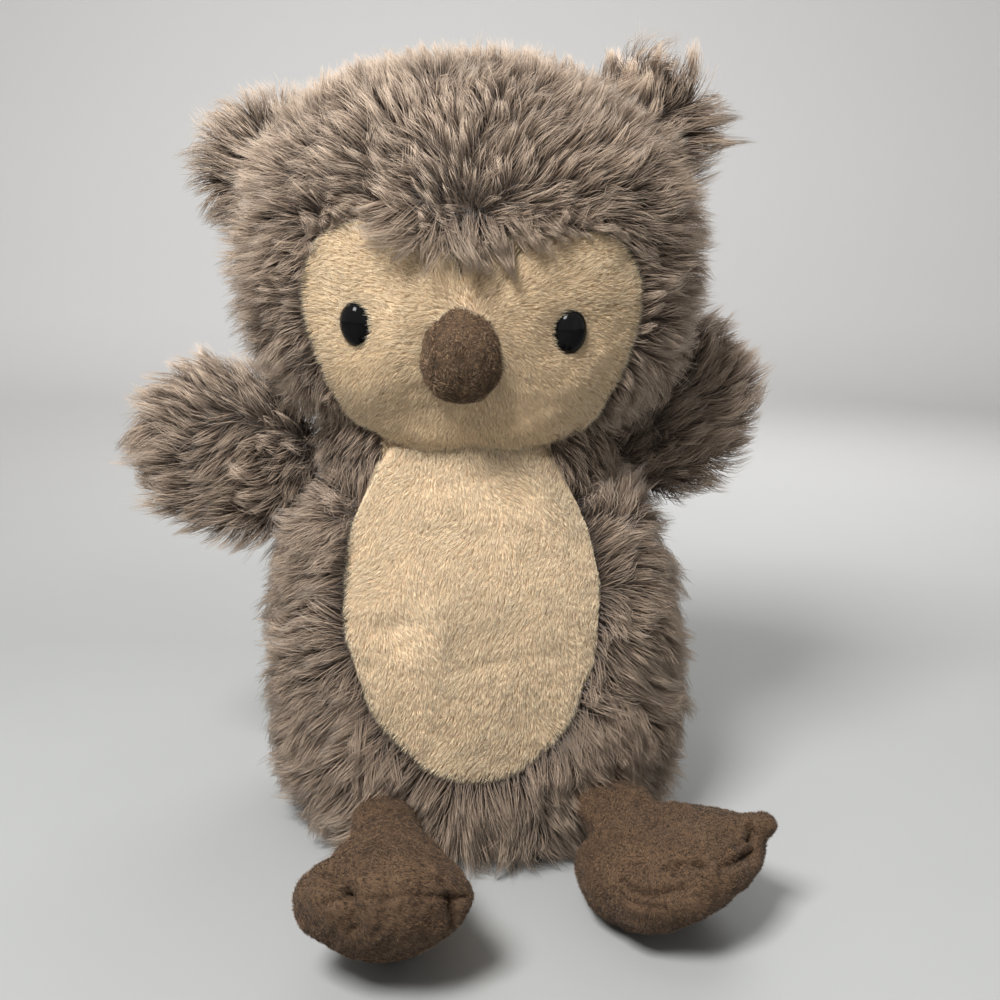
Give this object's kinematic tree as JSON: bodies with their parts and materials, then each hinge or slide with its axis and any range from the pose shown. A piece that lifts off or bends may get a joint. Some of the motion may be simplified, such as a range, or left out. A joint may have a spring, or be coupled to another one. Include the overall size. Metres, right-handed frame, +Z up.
{
  "type": "plush owl",
  "caption": "Seated long-pile plush owl with cream face and belly panels, suede beak and feet, and jointed head, wings, legs and ears.",
  "frame": {"origin": "on the flat seat under the body, where it rests on the surface it sits on", "axes": "+Z up, -Y the way the owl faces, +X to the right of someone facing it; left and right in names are that person's"},
  "size_m": [0.2051, 0.17, 0.2405],
  "materials": {
    "fur": "taupe long-pile plush with darker roots and paler tips",
    "cream": "cream short-pile plush",
    "suede": "brown microsuede with a fine nap",
    "stuffing": "white polyester fibrefill",
    "eye": "polished black",
    "washer": "moulded off-white",
    "pouch": "plain woven lining",
    "pellets": "loose fill of small pellets"
  },
  "bodies": {
    "body": {"body_fur_left": "fur", "body_fur_right": "fur", "belly_panel": "cream", "body_stuffing": "stuffing", "pellet_pouch_top": "pouch", "pellet_pouch_bottom": "pouch", "pellet_fill": "pellets"},
    "neck": {"neck_stuffing": "stuffing"},
    "head": {"head_fur_left": "fur", "head_fur_right": "fur", "eye_left": "eye", "eye_washer_left": "washer", "eye_right": "eye", "eye_washer_right": "washer", "face_panel": "cream", "head_stuffing": "stuffing", "beak_left": "suede", "beak_right": "suede", "beak_stuffing": "stuffing"},
    "ear_left": {"ear_left_front": "fur", "ear_left_back": "fur"},
    "ear_right": {"ear_right_front": "fur", "ear_right_back": "fur"},
    "wing_left": {"wing_left_front": "fur", "wing_left_back": "fur", "wing_left_stuffing": "stuffing"},
    "wing_right": {"wing_right_front": "fur", "wing_right_back": "fur", "wing_right_stuffing": "stuffing"},
    "leg_left": {"foot_left_upper": "suede", "foot_left_sole": "suede", "foot_left_stuffing": "stuffing"},
    "leg_right": {"foot_right_upper": "suede", "foot_right_sole": "suede", "foot_right_stuffing": "stuffing"}
  },
  "joints": [
    {"name": "neck_turn", "type": "hinge", "parent": "body", "child": "neck", "pos_m": [-0.004, 0, 0.1375], "axis": [0, 0, 1], "range_deg": [-35, 35], "stiffness_Nm_per_rad": 0.08},
    {"name": "head_nod", "type": "hinge", "parent": "neck", "child": "head", "pos_m": [-0.004, 0, 0.1375], "axis": [1, 0, 0], "range_deg": [-12, 6], "stiffness_Nm_per_rad": 0.4},
    {"name": "ear_left_fold", "type": "hinge", "parent": "head", "child": "ear_left", "pos_m": [-0.07025, 0, 0.208], "axis": [0.4067, 0, 0.9135], "range_deg": [-25, 30], "stiffness_Nm_per_rad": 0.02},
    {"name": "ear_right_fold", "type": "hinge", "parent": "head", "child": "ear_right", "pos_m": [0.0526, 0, 0.22158], "axis": [0.6947, 0, -0.7193], "range_deg": [-25, 30], "stiffness_Nm_per_rad": 0.02},
    {"name": "wing_left_flap", "type": "hinge", "parent": "body", "child": "wing_left", "pos_m": [-0.05674, 0.00137, 0.1086], "axis": [0.3907, 0, 0.9205], "range_deg": [-30, 50], "stiffness_Nm_per_rad": 0.06},
    {"name": "leg_left_swing", "type": "hinge", "parent": "body", "child": "leg_left", "pos_m": [-0.02797, -0.04767, 0.02048], "axis": [1, 0, 0], "range_deg": [-40, 45], "stiffness_Nm_per_rad": 0.06},
    {"name": "wing_right_flap", "type": "hinge", "parent": "body", "child": "wing_right", "pos_m": [0.04812, 0.00963, 0.11226], "axis": [0.6679, 0.3258, -0.6691], "range_deg": [-20, 30], "stiffness_Nm_per_rad": 0.06},
    {"name": "leg_right_swing", "type": "hinge", "parent": "body", "child": "leg_right", "pos_m": [0.03768, -0.04399, 0.02277], "axis": [1, 0, 0], "range_deg": [-40, 45], "stiffness_Nm_per_rad": 0.06}
  ]
}
